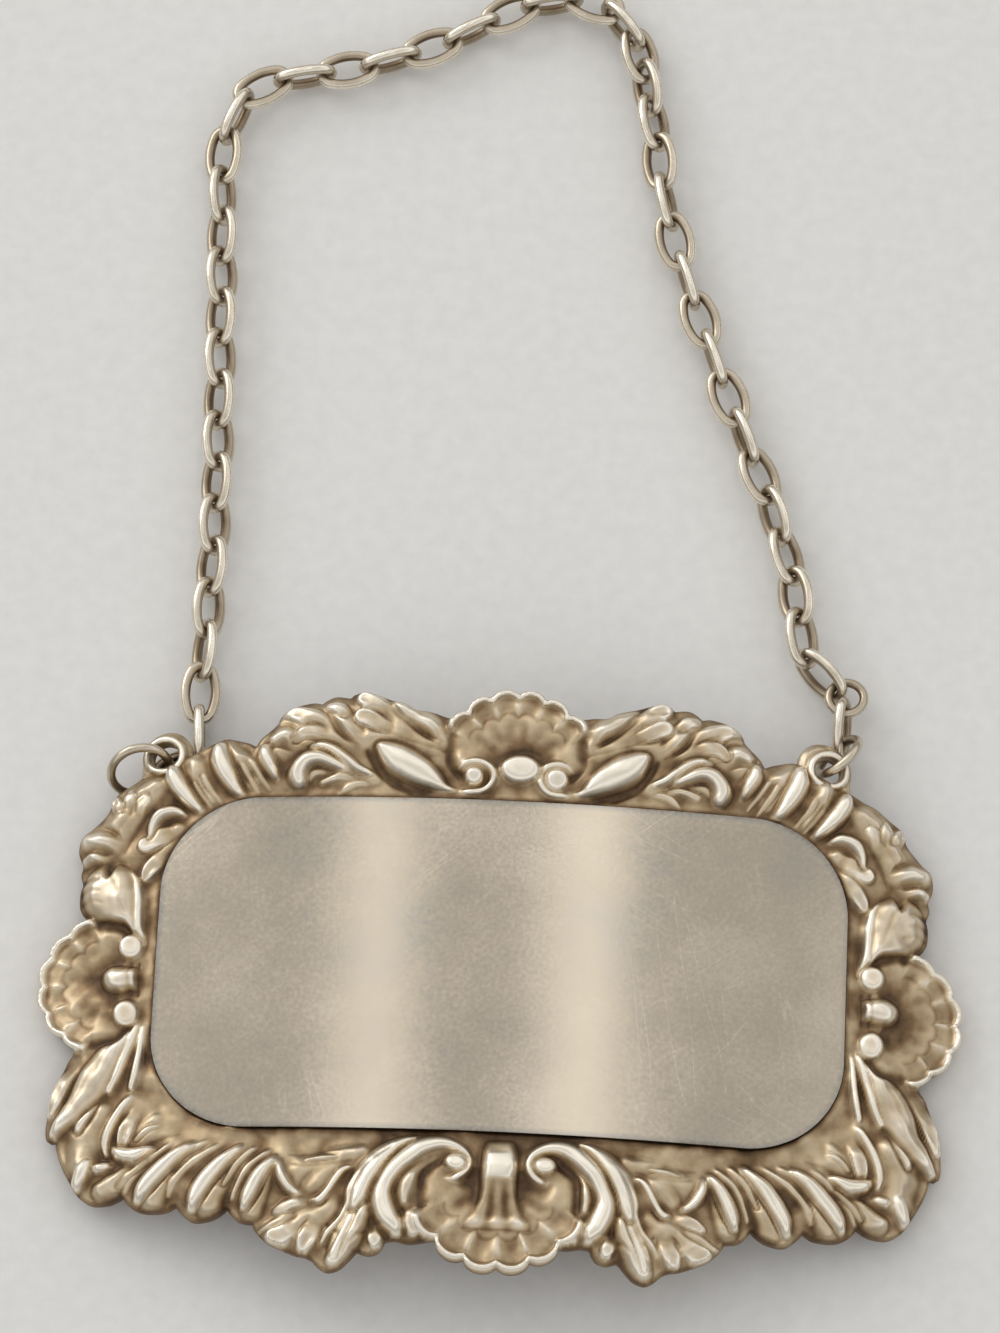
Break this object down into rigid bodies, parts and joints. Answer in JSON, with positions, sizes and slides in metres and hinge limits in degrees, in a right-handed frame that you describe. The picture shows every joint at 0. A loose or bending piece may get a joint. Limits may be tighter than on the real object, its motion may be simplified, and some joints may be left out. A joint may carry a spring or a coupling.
{
  "type": "decanter label",
  "caption": "Bowed silver decanter label with a plain panel in a cast shell, leaf and gadroon border, hung from two pierced lugs on an oval-link chain.",
  "frame": {"origin": "on the table, under the middle of the border", "axes": "+Y up the label towards its chain, +Z out of the face of the label, +X to the right of someone who reads the label"},
  "size_m": [0.0605, 0.0937, 0.007],
  "materials": {
    "panel_silver": "old silver with a satin polish, fine scratches and a warm tarnish",
    "relief_silver": "cast silver, brown tarnish in the hollows, polished on the high points",
    "chain_silver": "drawn silver wire with a warm grey tarnish"
  },
  "bodies": {
    "label": {"panel": "panel_silver", "border": "relief_silver", "left_lug": "relief_silver", "right_lug": "relief_silver"},
    "left_ring": {"left_ring": "chain_silver"},
    "link_01": {"link_01": "chain_silver"},
    "link_02": {"link_02": "chain_silver"},
    "link_03": {"link_03": "chain_silver"},
    "link_04": {"link_04": "chain_silver"},
    "link_05": {"link_05": "chain_silver"},
    "link_06": {"link_06": "chain_silver"},
    "link_07": {"link_07": "chain_silver"},
    "link_08": {"link_08": "chain_silver"},
    "link_09": {"link_09": "chain_silver"},
    "link_10": {"link_10": "chain_silver"},
    "link_11": {"link_11": "chain_silver"},
    "link_12": {"link_12": "chain_silver"},
    "link_13": {"link_13": "chain_silver"},
    "link_14": {"link_14": "chain_silver"},
    "link_15": {"link_15": "chain_silver"},
    "link_16": {"link_16": "chain_silver"},
    "link_17": {"link_17": "chain_silver"},
    "link_18": {"link_18": "chain_silver"},
    "link_19": {"link_19": "chain_silver"},
    "link_20": {"link_20": "chain_silver"},
    "link_21": {"link_21": "chain_silver"},
    "link_22": {"link_22": "chain_silver"},
    "right_ring": {"right_ring": "chain_silver"},
    "link_45": {"link_45": "chain_silver"},
    "joining_ring": {"joining_ring": "chain_silver"},
    "link_44": {"link_44": "chain_silver"},
    "link_43": {"link_43": "chain_silver"},
    "link_42": {"link_42": "chain_silver"},
    "link_41": {"link_41": "chain_silver"},
    "link_40": {"link_40": "chain_silver"},
    "link_39": {"link_39": "chain_silver"},
    "link_38": {"link_38": "chain_silver"},
    "link_37": {"link_37": "chain_silver"},
    "link_36": {"link_36": "chain_silver"},
    "link_35": {"link_35": "chain_silver"},
    "link_34": {"link_34": "chain_silver"},
    "link_33": {"link_33": "chain_silver"},
    "link_32": {"link_32": "chain_silver"},
    "link_31": {"link_31": "chain_silver"},
    "link_30": {"link_30": "chain_silver"},
    "link_29": {"link_29": "chain_silver"},
    "link_28": {"link_28": "chain_silver"},
    "link_27": {"link_27": "chain_silver"},
    "link_26": {"link_26": "chain_silver"},
    "link_25": {"link_25": "chain_silver"},
    "link_24": {"link_24": "chain_silver"},
    "link_23": {"link_23": "chain_silver"}
  },
  "joints": [
    {"name": "left_ring_turn", "type": "hinge", "parent": "label", "child": "left_ring", "pos_m": [-0.02444, 0.01462, 0.00208], "axis": [-0.2219, 0.828, -0.515], "range_deg": [0, 30]},
    {"name": "link_01_swing", "type": "hinge", "parent": "left_ring", "child": "link_01", "pos_m": [-0.02444, 0.01462, 0.00208], "axis": [0.2219, -0.828, 0.515], "range_deg": [-30, 0]},
    {"name": "link_02_swing", "type": "hinge", "parent": "link_01", "child": "link_02", "pos_m": [-0.0207, 0.01639, 0.00151], "axis": [-0.9986, -0.0536, 0], "range_deg": [-30, 30]},
    {"name": "link_03_swing", "type": "hinge", "parent": "link_02", "child": "link_03", "pos_m": [-0.02081, 0.0185, 0.00143], "axis": [0.9986, 0.0536, 0], "range_deg": [-30, 30]},
    {"name": "link_04_swing", "type": "hinge", "parent": "link_03", "child": "link_04", "pos_m": [-0.02083, 0.02245, 0.00151], "axis": [-0.8655, 0.0291, 0.5], "range_deg": [-30, 30]},
    {"name": "link_05_swing", "type": "hinge", "parent": "link_04", "child": "link_05", "pos_m": [-0.02076, 0.02456, 0.00151], "axis": [0.8655, -0.0291, -0.5], "range_deg": [-30, 30]},
    {"name": "link_06_swing", "type": "hinge", "parent": "link_05", "child": "link_06", "pos_m": [-0.02068, 0.0285, 0.0015], "axis": [-0.7071, 0.0029, 0.7071], "range_deg": [-30, 30]},
    {"name": "link_07_swing", "type": "hinge", "parent": "link_06", "child": "link_07", "pos_m": [-0.02067, 0.03153, 0.0015], "axis": [0.7071, 0.0065, 0.7071], "range_deg": [-30, 30]},
    {"name": "link_08_swing", "type": "hinge", "parent": "link_07", "child": "link_08", "pos_m": [-0.0207, 0.03456, 0.0015], "axis": [-0.7069, -0.0165, 0.7071], "range_deg": [-30, 30]},
    {"name": "link_09_swing", "type": "hinge", "parent": "link_08", "child": "link_09", "pos_m": [-0.02078, 0.03759, 0.0015], "axis": [0.7066, 0.0264, 0.7071], "range_deg": [-30, 30]},
    {"name": "link_10_swing", "type": "hinge", "parent": "link_09", "child": "link_10", "pos_m": [-0.02089, 0.04062, 0.0015], "axis": [-0.7065, -0.0284, 0.7071], "range_deg": [-30, 30]},
    {"name": "link_11_swing", "type": "hinge", "parent": "link_10", "child": "link_11", "pos_m": [-0.02097, 0.04273, 0.0015], "axis": [0.7065, 0.0284, -0.7071], "range_deg": [-30, 30]},
    {"name": "link_12_swing", "type": "hinge", "parent": "link_11", "child": "link_12", "pos_m": [-0.02114, 0.04668, 0.0015], "axis": [-0.7064, -0.0319, 0.7071], "range_deg": [-30, 30]},
    {"name": "link_13_swing", "type": "hinge", "parent": "link_12", "child": "link_13", "pos_m": [-0.02128, 0.0497, 0.0015], "axis": [0.7063, 0.034, 0.7071], "range_deg": [-30, 30]},
    {"name": "link_14_swing", "type": "hinge", "parent": "link_13", "child": "link_14", "pos_m": [-0.02142, 0.05273, 0.0015], "axis": [-0.7062, -0.036, 0.7071], "range_deg": [-30, 30]},
    {"name": "link_15_swing", "type": "hinge", "parent": "link_14", "child": "link_15", "pos_m": [-0.02158, 0.05576, 0.0015], "axis": [0.8303, 0.0447, 0.5556], "range_deg": [-30, 30]},
    {"name": "link_16_swing", "type": "hinge", "parent": "link_15", "child": "link_16", "pos_m": [-0.02169, 0.05786, 0.0015], "axis": [-0.8303, -0.0447, -0.5556], "range_deg": [-30, 30]},
    {"name": "link_17_swing", "type": "hinge", "parent": "link_16", "child": "link_17", "pos_m": [-0.0214, 0.06174, 0.00162], "axis": [0.903, -0.3828, 0.1951], "range_deg": [-30, 30]},
    {"name": "link_18_swing", "type": "hinge", "parent": "link_17", "child": "link_18", "pos_m": [-0.02058, 0.06368, 0.00163], "axis": [-0.903, 0.3828, -0.1951], "range_deg": [-30, 30]},
    {"name": "link_19_swing", "type": "hinge", "parent": "link_18", "child": "link_19", "pos_m": [-0.01751, 0.06581, 0.0015], "axis": [0.2092, -0.9779, 0], "range_deg": [-30, 30]},
    {"name": "link_20_swing", "type": "hinge", "parent": "link_19", "child": "link_20", "pos_m": [-0.01545, 0.06625, 0.00148], "axis": [-0.2092, 0.9779, 0], "range_deg": [-30, 30]},
    {"name": "link_21_swing", "type": "hinge", "parent": "link_20", "child": "link_21", "pos_m": [-0.01162, 0.06721, 0.0015], "axis": [0.3213, -0.947, 0], "range_deg": [-30, 30]},
    {"name": "link_22_swing", "type": "hinge", "parent": "link_21", "child": "link_22", "pos_m": [-0.00963, 0.06789, 0.0015], "axis": [-0.3213, 0.947, 0], "range_deg": [-30, 30]},
    {"name": "right_ring_turn", "type": "hinge", "parent": "label", "child": "right_ring", "pos_m": [0.02167, 0.01757, 0.00252], "axis": [-0.6634, 0.5567, 0.5], "range_deg": [-30, 0]},
    {"name": "link_45_swing", "type": "hinge", "parent": "right_ring", "child": "link_45", "pos_m": [0.02187, 0.01868, 0.00139], "axis": [0.9545, -0.0999, 0.281], "range_deg": [-30, 30]},
    {"name": "joining_ring_turn", "type": "hinge", "parent": "link_45", "child": "joining_ring", "pos_m": [0.02191, 0.02071, 0.00197], "axis": [-0.9545, 0.0999, -0.281], "range_deg": [-30, 30]},
    {"name": "link_44_swing", "type": "hinge", "parent": "joining_ring", "child": "link_44", "pos_m": [0.02113, 0.02281, 0.00159], "axis": [0.6078, 0.6044, -0.515], "range_deg": [-30, 30]},
    {"name": "link_43_swing", "type": "hinge", "parent": "link_44", "child": "link_43", "pos_m": [0.01964, 0.0243, 0.00159], "axis": [-0.6078, -0.6044, 0.515], "range_deg": [-30, 30]},
    {"name": "link_42_swing", "type": "hinge", "parent": "link_43", "child": "link_42", "pos_m": [0.01888, 0.02712, 0.00184], "axis": [0.641, 0.1058, 0.7602], "range_deg": [-30, 0]},
    {"name": "link_41_swing", "type": "hinge", "parent": "link_42", "child": "link_41", "pos_m": [0.01832, 0.03009, 0.00163], "axis": [-0.643, -0.0656, 0.763], "range_deg": [-30, 0]},
    {"name": "link_40_swing", "type": "hinge", "parent": "link_41", "child": "link_40", "pos_m": [0.01728, 0.03389, 0.00149], "axis": [0.8169, 0.2874, -0.5], "range_deg": [-30, 30]},
    {"name": "link_39_swing", "type": "hinge", "parent": "link_40", "child": "link_39", "pos_m": [0.01658, 0.03588, 0.0015], "axis": [-0.8169, -0.2874, 0.5], "range_deg": [-30, 0]},
    {"name": "link_38_swing", "type": "hinge", "parent": "link_39", "child": "link_38", "pos_m": [0.0151, 0.03954, 0.00148], "axis": [0.9126, 0.3702, -0.1736], "range_deg": [-30, 30]},
    {"name": "link_37_swing", "type": "hinge", "parent": "link_38", "child": "link_37", "pos_m": [0.01431, 0.0415, 0.00149], "axis": [-0.9126, -0.3702, 0.1736], "range_deg": [-30, 30]},
    {"name": "link_36_swing", "type": "hinge", "parent": "link_37", "child": "link_36", "pos_m": [0.01288, 0.04518, 0.0015], "axis": [0.937, 0.3493, 0], "range_deg": [-30, 30]},
    {"name": "link_35_swing", "type": "hinge", "parent": "link_36", "child": "link_35", "pos_m": [0.01214, 0.04716, 0.0015], "axis": [-0.937, -0.3493, 0], "range_deg": [-30, 30]},
    {"name": "link_34_swing", "type": "hinge", "parent": "link_35", "child": "link_34", "pos_m": [0.01081, 0.05088, 0.0015], "axis": [0.9464, 0.323, 0], "range_deg": [-30, 30]},
    {"name": "link_33_swing", "type": "hinge", "parent": "link_34", "child": "link_33", "pos_m": [0.01013, 0.05288, 0.0015], "axis": [-0.9464, -0.323, 0], "range_deg": [-30, 30]},
    {"name": "link_32_swing", "type": "hinge", "parent": "link_33", "child": "link_32", "pos_m": [0.00907, 0.05668, 0.0015], "axis": [0.9033, 0.1938, 0.3827], "range_deg": [-30, 30]},
    {"name": "link_31_swing", "type": "hinge", "parent": "link_32", "child": "link_31", "pos_m": [0.00863, 0.05874, 0.00151], "axis": [-0.9033, -0.1938, -0.3827], "range_deg": [-30, 30]},
    {"name": "link_30_swing", "type": "hinge", "parent": "link_31", "child": "link_30", "pos_m": [0.00797, 0.06263, 0.00146], "axis": [0.6954, 0.1283, 0.7071], "range_deg": [-30, 0]},
    {"name": "link_29_swing", "type": "hinge", "parent": "link_30", "child": "link_29", "pos_m": [0.00746, 0.06521, 0.00149], "axis": [-0.8099, -0.188, 0.5556], "range_deg": [-30, 5]},
    {"name": "link_28_swing", "type": "hinge", "parent": "link_29", "child": "link_28", "pos_m": [0.00699, 0.06727, 0.0015], "axis": [0.8099, 0.188, -0.5556], "range_deg": [-30, 30]},
    {"name": "link_27_swing", "type": "hinge", "parent": "link_28", "child": "link_27", "pos_m": [0.00605, 0.0701, 0.00158], "axis": [-0.7419, -0.6415, 0.1951], "range_deg": [-30, 25]},
    {"name": "link_26_swing", "type": "hinge", "parent": "link_27", "child": "link_26", "pos_m": [0.00467, 0.0717, 0.00158], "axis": [0.7419, 0.6415, -0.1951], "range_deg": [-30, 30]},
    {"name": "link_25_swing", "type": "hinge", "parent": "link_26", "child": "link_25", "pos_m": [0.0014, 0.07264, 0.00151], "axis": [0.1881, -0.9822, 0], "range_deg": [-30, 30]},
    {"name": "link_24_swing", "type": "hinge", "parent": "link_25", "child": "link_24", "pos_m": [-0.00067, 0.07225, 0.00149], "axis": [-0.1881, 0.9822, 0], "range_deg": [-30, 30]},
    {"name": "link_23_swing", "type": "hinge", "parent": "link_24", "child": "link_23", "pos_m": [-0.00421, 0.07057, 0.0015], "axis": [0.4976, -0.8674, 0], "range_deg": [-30, 30]}
  ]
}
